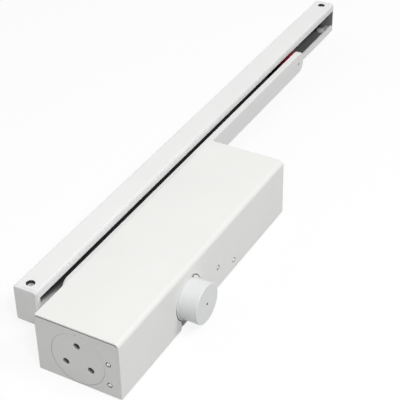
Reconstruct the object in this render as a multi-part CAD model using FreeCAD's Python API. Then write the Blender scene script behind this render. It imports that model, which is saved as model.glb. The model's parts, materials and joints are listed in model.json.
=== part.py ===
import FreeCAD, Part
import math
import os

# Slide arm door closer, lying on its back as it would be screwed to a door.
# Millimetres. The origin is the centre of the closer's four screw holes, on the mounting plane.
# +X runs along the body towards the free end of the arm, +Y from the spindle cap to the rail,
# and +Z out of the mounting plane.

# Fits: radial play of a turning or sliding fit, of a fixed fit, and the free gap between neighbours
running_play = 0.06
fixed_play = 0.04
free_gap = 0.3

# Piston bore and the walls of the casting around it
body_length = 226.0
bore_radius = 15.0
floor_wall = 0.6
roof_wall = 3.6
cap_side_wall = 3.0
arm_side_wall = 3.7
casting_edge = 3.0
foot_edge = 0.3
pocket_depth = 14.0
pocket_rib = 6.0
pocket_corner = 3.0

# Screw holes that hold the closer on the door
mount_span = 162.0
mount_hole_radius = 3.25
mount_head_radius = 5.25
mount_seat_height = 9.0
mount_wall = 1.75

# Cover: one bent sheet over the front and the spindle cap side
cover_sheet = 1.2
cover_gap = 0.5
cover_side_gap = 0.1
cover_bend = 3.4
cover_inset = 0.75
cutout_gap = 0.6
cutout_half_width = 10.5
recess_depth = 4.0
recess_foot = 1.2

# End plugs, screwed into both ends of the bore
plug_step = 2.0
plug_flange_step = 2.9
plug_flange = 3.0
plug_length = 15.0
plug_spigot_radius = 8.5
plug_spigot_length = 6.0
spanner_hole_radius = 2.4
spanner_hole_depth = 9.0
spanner_circle_radius = 10.8
spanner_holes = 3
seal_width = 2.6
seal_depth = 1.9

# Spindle with its pinion
spindle_from_end = 84.5
spindle_turn_deg = 165.0
gear_module = 1.5
pinion_teeth = 12
pressure_angle_deg = 25.0
gear_backlash = 0.12
root_clearance = 0.25
pinion_width = 22.0
journal_radius = 7.0
square_flats = 10.0
square_play = 0.05
shoulder_stand = 1.5

# Bearings, shaft seals and gland in the cross bore
bearing_wall = 4.0
bearing_length = 8.0
shaft_seal_length = 2.5
gland_hole_radius = 1.0
gland_hole_depth = 2.0

# Spindle cap and its flange: two ears are let into the casting under the cover, and a drilled mark on the
# ledge shows which way up the flange goes
cap_radius = 14.7
cap_stand = 13.75
cap_roof = 2.0
cap_edge = 0.7
cap_mark_radius = 0.9
cap_mark_depth = 1.5
flange_ledge = 1.3
flange_proud = 0.15
flange_mark_radius = 0.55
flange_mark_depth = 1.0
flange_mark_angle_deg = 68.0
collar_radius = 11.0
collar_height = 3.0
ear_radius = 4.0
ear_plate = 2.0
ear_circle_radius = 18.5
ear_angle_deg = 20.0
ear_screw_radius = 1.4
ear_screw_head_radius = 2.1
ear_screw_head = 1.0
ear_screw_length = 8.0

# Piston and its check valve
piston_head = 10.0
window_gap = 1.5
check_bore_radius = 2.6
check_seat_radius = 1.5
check_seat_length = 3.0
check_ball_radius = 2.2
check_retainer = 2.4
check_lift = 0.6
check_hole_radius = 1.0

# Return spring
spring_wire_radius = 2.2
spring_turns = 9
spring_wire_sides = 8

# Regulating valves: their size and their places on the end face and on the cap side
valve_radius = 1.8
valve_length = 9.5
valve_head_radius = 1.25
valve_head_length = 2.0
valve_slot = 0.45
valve_slot_depth = 0.8
needle_radius = 1.1
needle_length = 3.0
valve_seal_width = 1.3
valve_seal_depth = 0.6
valve_seal_at = 5.0
oil_channel_radius = 0.9
end_valve_out = 0.9
closing_valve_rise = 5.65
latching_valve_drop = 11.5
backcheck_valve_ahead = 40.3
backcheck_valve_drop = 3.0
delay_valve_ahead = 63.4
delay_valve_drop = 12.3

# Arm, its screw and the pin at its far end
arm_standoff = 10.0
arm_thickness = 5.4
arm_width = 18.8
arm_reach = 319.5
arm_tail = 36.0
arm_corner = 7.5
arm_edge = 0.9
hub_wall = 2.0
arm_screw_radius = 4.0
arm_screw_length = 15.0
arm_screw_head_radius = 7.2
arm_screw_head = 2.8
arm_screw_sink = 2.0
arm_screw_hex = 5.0
arm_screw_hex_depth = 1.8
rivet_radius = 3.5
arm_skin = 1.2
pilot_radius = 0.8
pin_radius = 5.0
pin_head_radius = 6.4
pin_head = 1.8
washer = 0.8

# Slide rail, its slider and its end fittings
rail_gap = 4.15
rail_length = 472.0
rail_past_pivot = 94.5
rail_depth = 18.2
rail_height = 28.4
rail_wall = 2.0
rail_slot = 15.0
rail_edge = 2.0
slider_length = 33.0
slider_thickness = 8.0
slider_corner = 3.0
near_cap_plate = 2.0
near_cap_insert = 2.6
far_cap_plate = 1.2
cap_tongue_length = 12.0
rail_screw_from_end = 7.5
rail_head_hole_radius = 3.15
rail_screw_hole_radius = 2.3
sleeve_wall = 1.7

# Places worked out from these sizes
front_end = -body_length / 2
rear_end = body_length / 2
plug_radius = bore_radius + plug_step
plug_flange_radius = plug_radius + plug_flange_step
axis_z = plug_flange_radius + floor_wall
casting_top = axis_z + plug_flange_radius + roof_wall
cover_top = casting_top + cover_gap + cover_sheet
mount_y = bore_radius + mount_wall + mount_head_radius
cap_side = -(mount_y + mount_head_radius + cap_side_wall)
arm_side = mount_y + mount_head_radius + arm_side_wall
cover_side = cap_side - cover_side_gap - cover_sheet
cover_edge = arm_side - cover_inset

spindle_x = front_end + spindle_from_end
pitch_radius = gear_module * pinion_teeth / 2
tip_radius = pitch_radius + gear_module
root_radius = pitch_radius - gear_module * (1 + root_clearance)
tooth_pitch = math.pi * gear_module
pressure_angle = math.radians(pressure_angle_deg)
piston_travel = pitch_radius * math.radians(spindle_turn_deg)
bearing_radius = journal_radius + bearing_wall
bearing_start = bore_radius + free_gap
seal_start = bearing_start + bearing_length
gland_start = seal_start + shaft_seal_length

piston_radius = bore_radius - running_play
window_rear = spindle_x + tip_radius + window_gap
window_front = spindle_x - piston_travel - tip_radius - window_gap
piston_front = window_front - piston_head
piston_rear = window_rear + piston_head
spring_start = piston_rear
spring_end = rear_end - plug_length
spring_mean_radius = bore_radius - 2 * free_gap - spring_wire_radius

flange_face = cover_side - flange_proud
flange_radius = cap_radius + flange_ledge
cap_face = cover_side - cap_stand

arm_front = cover_edge + arm_standoff
arm_back = arm_front + arm_thickness
arm_shoulder = arm_side + shoulder_stand
arm_screw_seat = arm_back - arm_screw_sink
hub_radius = journal_radius + hub_wall
tail_end = spindle_x - arm_tail
pivot_x = spindle_x + arm_reach
tip_end = pivot_x + arm_width / 2

rail_front = arm_back + rail_gap
rail_back = rail_front + rail_depth
rail_mid = (rail_front + rail_back) / 2
rail_far = pivot_x + rail_past_pivot
rail_near = rail_far - rail_length
rail_low = axis_z - rail_height / 2
rail_top = axis_z + rail_height / 2
hollow_front = rail_front + rail_wall
hollow_back = rail_back - rail_wall
hollow_half = rail_height / 2 - rail_wall
slider_front = hollow_front + free_gap
slider_back = slider_front + slider_thickness
pin_head_seat = slider_back - pin_head - free_gap
sleeve_radius = rail_screw_hole_radius + sleeve_wall

V = FreeCAD.Vector
ALONG_X = V(1, 0, 0)
ALONG_Y = V(0, 1, 0)
ALONG_Z = V(0, 0, 1)


def box(x0, x1, y0, y1, z0, z1):
    return Part.makeBox(x1 - x0, y1 - y0, z1 - z0, V(x0, y0, z0))


def rod_x(x0, x1, y, z, radius):
    return Part.makeCylinder(radius, x1 - x0, V(x0, y, z), ALONG_X)


def rod_y(y0, y1, x, z, radius):
    return Part.makeCylinder(radius, y1 - y0, V(x, y0, z), ALONG_Y)


def rod_z(z0, z1, x, y, radius):
    return Part.makeCylinder(radius, z1 - z0, V(x, y, z0), ALONG_Z)


def in_yz(x):
    return lambda u, v: V(x, u, v)


def in_xy(z):
    return lambda u, v: V(u, v, z)


def in_xz(y):
    return lambda u, v: V(u, y, v)


def in_spindle_plane(u, v):
    """u is the distance from the spindle's axis, v the place along it."""
    return V(spindle_x + u, v, axis_z)


def rounded_face(corners, place):
    """A flat face from corners (u, v, radius), in order; place puts (u, v) into the frame."""
    edges = []
    last = None
    first = None
    count = len(corners)
    for i, (u, v, radius) in enumerate(corners):
        here = V(u, v, 0)
        back = V(*corners[i - 1][:2], 0) - here
        ahead = V(*corners[(i + 1) % count][:2], 0) - here
        back.normalize()
        ahead.normalize()
        start = end = here
        if radius > 0:
            half = back.getAngle(ahead) / 2
            middle = back + ahead
            middle.normalize()
            start = here + back * (radius / math.tan(half))
            end = here + ahead * (radius / math.tan(half))
            crown = here + middle * (radius / math.sin(half) - radius)
        points = [place(p.x, p.y) for p in (start, end)]
        if last is None:
            first = points[0]
        elif (points[0] - last).Length > 1e-6:
            edges.append(Part.makeLine(last, points[0]))
        if radius > 0:
            edges.append(Part.Arc(points[0], place(crown.x, crown.y), points[1]).toShape())
        last = points[1]
    if (first - last).Length > 1e-6:
        edges.append(Part.makeLine(last, first))
    return Part.Face(Part.Wire(edges))


def turned(corners):
    """A solid of revolution about the spindle's axis."""
    return rounded_face(corners, in_spindle_plane).revolve(V(spindle_x, 0, axis_z), ALONG_Y, 360)


def square_end(y0, y1, flats, corner_radius):
    """A square bar along the spindle, with its corners turned down to a radius."""
    half = flats / 2
    bar = box(spindle_x - half, spindle_x + half, y0, y1, axis_z - half, axis_z + half)
    return bar.common(rod_y(y0, y1, spindle_x, axis_z, corner_radius))


def along_ears(u, v):
    """u runs through the screws of both ears, v across, from the spindle's axis on the cap side."""
    angle = math.radians(ear_angle_deg)
    x = spindle_x + u * math.cos(angle) - v * math.sin(angle)
    return V(x, cap_side, axis_z + u * math.sin(angle) + v * math.cos(angle))


def on_ear(side):
    """Centre of one ear of the cap's flange, and of its screw."""
    centre = along_ears(side * ear_circle_radius, 0)
    return centre.x, centre.z


def ear_bar(play):
    """The bar of both ears, let into the casting."""
    half = ear_radius + play
    end = ear_circle_radius + half
    outline = rounded_face([
        (-end, -half, half),
        (end, -half, half),
        (end, half, half),
        (-end, half, half),
    ], along_ears)
    return outline.extrude(V(0, ear_plate, 0))


def mount_places():
    return [(sx * mount_span / 2, sy * mount_y) for sx in (-1, 1) for sy in (-1, 1)]


def rail_screw_places():
    return [rail_near + rail_screw_from_end, rail_far - rail_screw_from_end]


# Where each valve's head is, and the way it points into the casting
valve_places = {
    "closing_valve": (V(front_end, -mount_y - end_valve_out, axis_z + closing_valve_rise), ALONG_X),
    "latching_valve": (V(front_end, -mount_y - end_valve_out, axis_z - latching_valve_drop), ALONG_X),
    "backcheck_valve": (
        V(spindle_x + backcheck_valve_ahead, cover_side, axis_z - backcheck_valve_drop), ALONG_Y),
    "delay_valve": (V(spindle_x + delay_valve_ahead, cover_side, axis_z - delay_valve_drop), ALONG_Y),
}


def set_at(shape, head, inward):
    """Moves a shape made along +X from the origin to a valve's place."""
    moved = shape.copy()
    moved.Placement = FreeCAD.Placement(head, FreeCAD.Rotation(ALONG_X, inward))
    return moved


def valve_stem():
    head = rod_x(0, valve_head_length, 0, 0, valve_head_radius)
    stem = rod_x(valve_head_length, valve_length, 0, 0, valve_radius)
    groove_end = valve_seal_at + valve_seal_width
    groove = rod_x(valve_seal_at, groove_end, 0, 0, valve_radius)
    groove = groove.cut(rod_x(valve_seal_at, groove_end, 0, 0, valve_radius - valve_seal_depth))
    half = valve_slot / 2
    slot = box(0, valve_slot_depth, -half, half, -valve_radius, valve_radius)
    needle = Part.makeCone(needle_radius, needle_radius / 3, needle_length, V(valve_length, 0, 0), ALONG_X)
    return stem.fuse([head, needle]).cut([groove, slot])


def valve_ring():
    play = running_play / 3
    start = valve_seal_at + play
    end = valve_seal_at + valve_seal_width - play
    ring = rod_x(start, end, 0, 0, valve_radius + play)
    return ring.cut(rod_x(start, end, 0, 0, valve_radius - valve_seal_depth + play))


def valve_hole():
    """The stepped hole of a valve, with the channel from its needle to the bore."""
    wide = rod_x(-1, valve_length + free_gap, 0, 0, valve_radius + running_play)
    narrow = rod_x(0, valve_length + needle_length + free_gap, 0, 0, needle_radius + running_play)
    return wide.fuse(narrow)


def oil_channel(head, inward):
    tip = head + inward * (valve_length + needle_length)
    return rod_y(tip.y, 0, tip.x, tip.z, oil_channel_radius)


def back_pockets():
    """Two hollows in the casting's back, on the arm side, between the screw bosses and the spindle."""
    boss = mount_head_radius + pocket_rib
    spindle_half = bearing_radius + pocket_rib
    y0 = bore_radius + mount_wall
    y1 = mount_y + mount_head_radius
    pockets = []
    spans = (
        (-mount_span / 2 + boss, spindle_x - spindle_half),
        (spindle_x + spindle_half, mount_span / 2 - boss),
    )
    for x0, x1 in spans:
        outline = rounded_face([
            (x0, y0, pocket_corner),
            (x1, y0, pocket_corner),
            (x1, y1, pocket_corner),
            (x0, y1, pocket_corner),
        ], in_xy(0))
        pockets.append(outline.extrude(V(0, 0, pocket_depth)))
    return pockets


def body_casting():
    section = rounded_face([
        (cap_side, 0, foot_edge),
        (arm_side, 0, foot_edge),
        (arm_side, casting_top, casting_edge),
        (cap_side, casting_top, cover_bend - cover_sheet - cover_side_gap),
    ], in_yz(front_end))
    block = section.extrude(V(body_length, 0, 0))
    cuts = [
        rod_x(front_end, rear_end, 0, axis_z, bore_radius),
        rod_y(cap_side, arm_side, spindle_x, axis_z, bearing_radius),
        box(spindle_x - cutout_half_width, spindle_x + cutout_half_width,
            cap_side, cap_side + recess_depth, recess_foot, axis_z - flange_radius + 1),
        ear_bar(fixed_play),
    ]
    cuts += back_pockets()
    for end, inward in ((front_end, 1), (rear_end, -1)):
        for depth, radius in ((plug_length + free_gap, plug_radius), (plug_flange, plug_flange_radius)):
            x0, x1 = sorted((end, end + inward * depth))
            cuts.append(rod_x(x0, x1, 0, axis_z, radius + fixed_play))
    for x, y in mount_places():
        cuts.append(rod_z(0, casting_top, x, y, mount_hole_radius))
        cuts.append(rod_z(mount_seat_height, casting_top, x, y, mount_head_radius))
    for head, inward in valve_places.values():
        cuts.append(set_at(valve_hole(), head, inward))
        cuts.append(oil_channel(head, inward))
    for side in (1, -1):
        x, z = on_ear(side)
        cuts.append(rod_y(cap_side, cap_side + ear_screw_length, x, z, ear_screw_radius + fixed_play))
    return block.cut(cuts)


def cover():
    inner_bend = cover_bend - cover_sheet
    section = rounded_face([
        (cover_side, foot_edge, 0),
        (cover_side, cover_top, cover_bend),
        (cover_edge, cover_top, 0),
        (cover_edge, cover_top - cover_sheet, 0),
        (cover_side + cover_sheet, cover_top - cover_sheet, inner_bend),
        (cover_side + cover_sheet, foot_edge, 0),
    ], in_yz(front_end))
    sheet = section.extrude(V(body_length, 0, 0))
    inside = cover_side + cover_sheet
    cuts = [
        rod_y(cover_side, inside, spindle_x, axis_z, flange_radius + cutout_gap),
        box(spindle_x - cutout_half_width, spindle_x + cutout_half_width, cover_side, inside, 0, axis_z),
    ]
    for head, inward in valve_places.values():
        if inward == ALONG_Y:
            cuts.append(rod_y(cover_side, inside, head.x, head.z, valve_radius + running_play))
    return sheet.cut(cuts)


def seal_groove_start():
    return plug_flange + (plug_length - plug_flange - seal_width) / 2


def end_plug(end, inward, spigot_length):
    """A screwed plug with its flange flush with the end face; inward is 1 or -1 along X."""
    def along(a, b, radius):
        x0, x1 = sorted((end + inward * a, end + inward * b))
        return rod_x(x0, x1, 0, axis_z, radius)
    plug = along(0, plug_flange, plug_flange_radius).fuse(along(0, plug_length, plug_radius))
    if spigot_length > 0:
        plug = plug.fuse(along(0, plug_length + spigot_length, plug_spigot_radius))
    groove_start = seal_groove_start()
    groove = along(groove_start, groove_start + seal_width, plug_radius)
    cuts = [groove.cut(along(groove_start, groove_start + seal_width, plug_radius - seal_depth))]
    for i in range(spanner_holes):
        angle = math.pi / 2 + i * 2 * math.pi / spanner_holes
        y = spanner_circle_radius * math.cos(angle)
        z = axis_z + spanner_circle_radius * math.sin(angle)
        x0, x1 = sorted((end, end + inward * spanner_hole_depth))
        cuts.append(rod_x(x0, x1, y, z, spanner_hole_radius))
    return plug.cut(cuts)


def plug_seal(end, inward):
    a = seal_groove_start() + fixed_play
    b = seal_groove_start() + seal_width - fixed_play
    x0, x1 = sorted((end + inward * a, end + inward * b))
    ring = rod_x(x0, x1, 0, axis_z, plug_radius)
    return ring.cut(rod_x(x0, x1, 0, axis_z, plug_radius - seal_depth + fixed_play))


def spindle_ring(y0, y1, inner, outer):
    return rod_y(y0, y1, spindle_x, axis_z, outer).cut(rod_y(y0, y1, spindle_x, axis_z, inner))


def arm_side_gland():
    ring = spindle_ring(gland_start, arm_side, journal_radius + free_gap, bearing_radius - fixed_play)
    middle = (journal_radius + bearing_radius) / 2
    hole_end = arm_side - gland_hole_depth
    for x in (spindle_x - middle, spindle_x + middle):
        ring = ring.cut(rod_y(hole_end, arm_side, x, axis_z, gland_hole_radius))
    return ring


def cap_flange():
    plate = rod_y(flange_face, cap_side, spindle_x, axis_z, flange_radius)
    spigot = rod_y(flange_face, -gland_start, spindle_x, axis_z, bearing_radius - fixed_play)
    collar = rod_y(flange_face - collar_height, flange_face, spindle_x, axis_z, collar_radius)
    cuts = [rod_y(flange_face - collar_height, -gland_start, spindle_x, axis_z, journal_radius + free_gap)]
    for side in (1, -1):
        x, z = on_ear(side)
        cuts.append(rod_y(cap_side, cap_side + ear_plate, x, z, ear_screw_radius + fixed_play))
        cuts.append(rod_y(cap_side, cap_side + ear_screw_head, x, z, ear_screw_head_radius + fixed_play))
    angle = math.radians(flange_mark_angle_deg)
    ledge = (cap_radius + flange_radius) / 2
    x = spindle_x + ledge * math.cos(angle)
    z = axis_z + ledge * math.sin(angle)
    cuts.append(rod_y(flange_face, flange_face + flange_mark_depth, x, z, flange_mark_radius))
    return plate.fuse([spigot, collar, ear_bar(0)]).cut(cuts)


def cap_flange_screws():
    screws = []
    for side in (1, -1):
        x, z = on_ear(side)
        head = rod_y(cap_side, cap_side + ear_screw_head, x, z, ear_screw_head_radius)
        shank = rod_y(cap_side, cap_side + ear_screw_length, x, z, ear_screw_radius)
        screws.append(head.fuse(shank))
    return Part.makeCompound(screws)


def spindle_cap():
    inner = collar_radius + fixed_play
    cup = turned([
        (inner, flange_face, 0),
        (cap_radius, flange_face, 0),
        (cap_radius, cap_face, cap_edge),
        (0, cap_face, 0),
        (0, cap_face + cap_roof, 0),
        (inner, cap_face + cap_roof, 0),
    ])
    return cup.cut(rod_y(cap_face, cap_face + cap_mark_depth, spindle_x, axis_z, cap_mark_radius))


def flank_angle(radius):
    """Half the angle of a pinion tooth at a radius, along its involute flank."""
    base = pitch_radius * math.cos(pressure_angle)
    slope = math.acos(min(1.0, base / radius))
    at_pitch = (tooth_pitch / 2 - gear_backlash) / (2 * pitch_radius)
    return at_pitch + math.tan(pressure_angle) - pressure_angle - math.tan(slope) + slope


def pinion():
    """The toothed middle of the spindle, with one tooth pointing at the rack."""
    base = max(pitch_radius * math.cos(pressure_angle), root_radius)
    steps = 4
    radii = [base + (tip_radius - base) * i / steps for i in range(steps + 1)]

    def at(radius, angle):
        return V(spindle_x + radius * math.sin(angle), -pinion_width / 2, axis_z - radius * math.cos(angle))

    edges = []
    tooth_turn = 2 * math.pi / pinion_teeth
    for tooth in range(pinion_teeth):
        middle = tooth * tooth_turn
        rise = [at(r, middle - flank_angle(r)) for r in radii]
        fall = [at(r, middle + flank_angle(r)) for r in reversed(radii)]
        foot_in = at(root_radius, middle - flank_angle(base))
        foot_out = at(root_radius, middle + flank_angle(base))
        next_foot = at(root_radius, middle + tooth_turn - flank_angle(base))
        for line in (rise, fall):
            curve = Part.BSplineCurve()
            curve.interpolate(line)
            edges.append(curve.toShape())
        edges.insert(-1, Part.Arc(rise[-1], at(tip_radius, middle), fall[0]).toShape())
        edges.insert(-3, Part.makeLine(foot_in, rise[0]))
        edges.append(Part.makeLine(fall[-1], foot_out))
        edges.append(Part.Arc(foot_out, at(root_radius, middle + tooth_turn / 2), next_foot).toShape())
    return Part.Face(Part.Wire(edges)).extrude(V(0, pinion_width, 0))


def pinion_spindle():
    cap_end = cap_face + cap_roof + free_gap
    cap_journal_end = flange_face - collar_height
    shaft = rod_y(cap_journal_end, arm_shoulder, spindle_x, axis_z, journal_radius)
    arm_end = arm_screw_seat - free_gap
    squares = [
        square_end(cap_end, cap_journal_end, square_flats, journal_radius),
        square_end(arm_shoulder, arm_end, square_flats, journal_radius),
    ]
    thread_end = arm_screw_seat - arm_screw_length - 1
    thread = rod_y(thread_end, arm_end, spindle_x, axis_z, arm_screw_radius + fixed_play)
    return shaft.fuse([pinion()] + squares).cut(thread)


def arm():
    half = arm_width / 2
    outline = rounded_face([
        (tail_end, axis_z - half, arm_corner),
        (tip_end, axis_z - half, arm_corner),
        (tip_end, axis_z + half, arm_corner),
        (tail_end, axis_z + half, arm_corner),
    ], in_xz(arm_front))
    bar = outline.extrude(V(0, arm_thickness, 0))
    bar = bar.makeFillet(arm_edge, [e for e in bar.Edges if e.BoundBox.YLength < 1e-6])
    hub = rod_y(arm_shoulder, arm_front + arm_thickness / 2, spindle_x, axis_z, hub_radius)
    return bar.fuse(hub).cut([
        square_end(arm_shoulder, arm_back, square_flats + 2 * square_play, journal_radius + square_play),
        rod_y(arm_screw_seat, arm_back, spindle_x, axis_z, arm_screw_head_radius + fixed_play),
        rod_y(arm_front + arm_skin, arm_back, pivot_x, axis_z, rivet_radius + fixed_play),
        rod_y(arm_front, arm_back, pivot_x, axis_z, pilot_radius),
    ])


def arm_screw():
    top = arm_screw_seat + arm_screw_head
    head = rod_y(arm_screw_seat, top, spindle_x, axis_z, arm_screw_head_radius)
    shank = rod_y(arm_screw_seat - arm_screw_length, arm_screw_seat, spindle_x, axis_z, arm_screw_radius)
    corner = arm_screw_hex / math.sqrt(3)
    points = []
    for i in range(7):
        angle = i * math.pi / 3
        points.append(V(spindle_x + corner * math.cos(angle), top, axis_z + corner * math.sin(angle)))
    key = Part.makePolygon(points)
    socket = Part.Face(key).extrude(V(0, -arm_screw_hex_depth, 0))
    return head.fuse(shank).cut(socket)


def pivot_pin():
    rivet = rod_y(arm_front + arm_skin + fixed_play, arm_back, pivot_x, axis_z, rivet_radius)
    journal = rod_y(arm_back, pin_head_seat, pivot_x, axis_z, pin_radius)
    head = rod_y(pin_head_seat, pin_head_seat + pin_head, pivot_x, axis_z, pin_head_radius)
    return rivet.fuse([journal, head])


def slider_washer():
    outer = rod_y(arm_back, arm_back + washer, pivot_x, axis_z, rail_slot / 2 - free_gap)
    return outer.cut(rod_y(arm_back, arm_back + washer, pivot_x, axis_z, pin_radius + fixed_play))


def slider():
    half_x = slider_length / 2
    half_z = hollow_half - free_gap
    outline = rounded_face([
        (pivot_x - half_x, axis_z - half_z, slider_corner),
        (pivot_x + half_x, axis_z - half_z, slider_corner),
        (pivot_x + half_x, axis_z + half_z, slider_corner),
        (pivot_x - half_x, axis_z + half_z, slider_corner),
    ], in_xz(slider_front))
    block = outline.extrude(V(0, slider_thickness, 0))
    boss_start = arm_back + washer + running_play
    boss = rod_y(boss_start, slider_back, pivot_x, axis_z, rail_slot / 2 - free_gap)
    return block.fuse(boss).cut([
        rod_y(boss_start, slider_back, pivot_x, axis_z, pin_radius + running_play),
        rod_y(pin_head_seat - running_play, slider_back, pivot_x, axis_z, pin_head_radius + free_gap),
    ])


def rail():
    lip_low = axis_z - rail_slot / 2
    lip_top = axis_z + rail_slot / 2
    hollow_low = axis_z - hollow_half
    hollow_top = axis_z + hollow_half
    section = rounded_face([
        (rail_front, rail_low, rail_edge),
        (rail_front, lip_low, 0),
        (hollow_front, lip_low, 0),
        (hollow_front, hollow_low, 0),
        (hollow_back, hollow_low, 0),
        (hollow_back, hollow_top, 0),
        (hollow_front, hollow_top, 0),
        (hollow_front, lip_top, 0),
        (rail_front, lip_top, 0),
        (rail_front, rail_top, rail_edge),
        (rail_back, rail_top, rail_edge),
        (rail_back, rail_low, rail_edge),
    ], in_yz(rail_near + near_cap_plate))
    channel = section.extrude(V(rail_length - near_cap_plate - far_cap_plate, 0, 0))
    cuts = []
    for x in rail_screw_places():
        cuts.append(rod_z(hollow_top, rail_top, x, rail_mid, rail_head_hole_radius))
        cuts.append(rod_z(rail_low, hollow_low, x, rail_mid, rail_screw_hole_radius))
    return channel.cut(cuts)


def rail_end_cap(end, inward, thickness, insert_length):
    """Plate over one end of the rail, with a tongue along the back of the hollow.

    An insert behind the plate, where there is one, closes the slot up to the rail's front.
    """
    plate = rounded_face([
        (rail_front, rail_low, rail_edge),
        (rail_back, rail_low, rail_edge),
        (rail_back, rail_top, rail_edge),
        (rail_front, rail_top, rail_edge),
    ], in_yz(end)).extrude(V(inward * thickness, 0, 0))
    rim = [e for e in plate.Edges if abs(e.BoundBox.XMax - end) < 1e-6 and abs(e.BoundBox.XMin - end) < 1e-6]
    plate = plate.makeFillet(thickness / 2, rim)
    play = fixed_play * 2
    inside = end + inward * thickness
    slot_half = rail_slot / 2 - play
    x0, x1 = sorted((inside, inside + inward * cap_tongue_length))
    pieces = [box(x0, x1, rail_mid + sleeve_radius + free_gap, hollow_back - play,
                  axis_z - slot_half, axis_z + slot_half)]
    if insert_length > 0:
        half = hollow_half - play
        x0, x1 = sorted((inside, inside + inward * insert_length))
        pieces.append(box(x0, x1, hollow_front + play, hollow_back - play, axis_z - half, axis_z + half))
        pieces.append(box(x0, x1, rail_front, hollow_back - play, axis_z - slot_half, axis_z + slot_half))
    clear = rod_z(axis_z - hollow_half, axis_z + hollow_half, end + inward * rail_screw_from_end, rail_mid,
                  sleeve_radius + free_gap)
    return plate.fuse(pieces).cut(clear)


def rail_sleeves():
    """Tubes that keep the rail's hollow from being crushed by its screws."""
    low = axis_z - hollow_half
    top = axis_z + hollow_half
    sleeves = []
    for x in rail_screw_places():
        tube = rod_z(low, top, x, rail_mid, sleeve_radius)
        sleeves.append(tube.cut(rod_z(low, top, x, rail_mid, rail_screw_hole_radius)))
    return Part.makeCompound(sleeves)


def rack_space(x):
    """The space between two teeth of the rack, centred at x."""
    spread = math.tan(pressure_angle)

    def half(depth):
        return tooth_pitch / 4 + (pitch_radius - depth) * spread

    top = pitch_radius - gear_module
    bottom = pitch_radius + gear_module * (1 + root_clearance)
    outline = rounded_face([
        (x - half(bottom), axis_z - bottom, 0),
        (x + half(bottom), axis_z - bottom, 0),
        (x + half(top), axis_z - top, 0),
        (x - half(top), axis_z - top, 0),
    ], in_xz(-bore_radius))
    return outline.extrude(V(0, 2 * bore_radius, 0))


def piston():
    barrel = rod_x(piston_front, piston_rear, 0, axis_z, piston_radius)
    rack_top = axis_z - pitch_radius + gear_module
    window_top = axis_z + tip_radius + window_gap / 3
    cuts = [box(window_front, window_rear, -bore_radius, bore_radius, rack_top, window_top)]
    first = math.ceil((window_front + tooth_pitch / 2 - spindle_x) / tooth_pitch)
    last = math.floor((window_rear - tooth_pitch / 2 - spindle_x) / tooth_pitch)
    for k in range(first, last + 1):
        cuts.append(rack_space(spindle_x + k * tooth_pitch))
    groove_start = piston_front + (piston_head - seal_width) / 2
    groove_end = groove_start + seal_width
    groove = rod_x(groove_start, groove_end, 0, axis_z, bore_radius)
    cuts.append(groove.cut(rod_x(groove_start, groove_end, 0, axis_z, piston_radius - seal_depth)))
    cuts.append(rod_x(piston_front, window_front - check_seat_length, 0, axis_z, check_bore_radius))
    cuts.append(rod_x(piston_front, window_front, 0, axis_z, check_seat_radius))
    return barrel.cut(cuts)


def piston_seal():
    start = piston_front + (piston_head - seal_width) / 2 + fixed_play
    end = start + seal_width - 2 * fixed_play
    ring = rod_x(start, end, 0, axis_z, bore_radius - running_play / 2)
    return ring.cut(rod_x(start, end, 0, axis_z, piston_radius - seal_depth + fixed_play))


def check_ball_x():
    """The ball rests on the rim of its seat."""
    lift_off = math.sqrt(check_ball_radius ** 2 - check_seat_radius ** 2) + running_play
    return window_front - check_seat_length - lift_off


def check_ball():
    return Part.makeSphere(check_ball_radius, V(check_ball_x(), 0, axis_z))


def check_retainer_ring():
    end = check_ball_x() - check_ball_radius - check_lift - running_play
    ring = rod_x(end - check_retainer, end, 0, axis_z, check_bore_radius - fixed_play)
    return ring.cut(rod_x(end - check_retainer, end, 0, axis_z, check_hole_radius))


def return_spring():
    """A coil of even pitch; its wire is a many-sided bar, which keeps the solid light."""
    start = spring_start + spring_wire_radius + fixed_play
    height = spring_end - fixed_play - spring_wire_radius - start
    pitch = height / spring_turns
    helix = Part.makeHelix(pitch, height, spring_mean_radius)
    corners = []
    for i in range(spring_wire_sides + 1):
        angle = 2 * math.pi * i / spring_wire_sides
        corners.append(V(spring_mean_radius + spring_wire_radius * math.cos(angle), 0,
                         spring_wire_radius * math.sin(angle)))
    coil = Part.Wire(helix).makePipeShell([Part.makePolygon(corners)], True, True)
    coil.Placement = FreeCAD.Placement(V(start, 0, axis_z), FreeCAD.Rotation(ALONG_Z, ALONG_X))
    return coil


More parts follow.
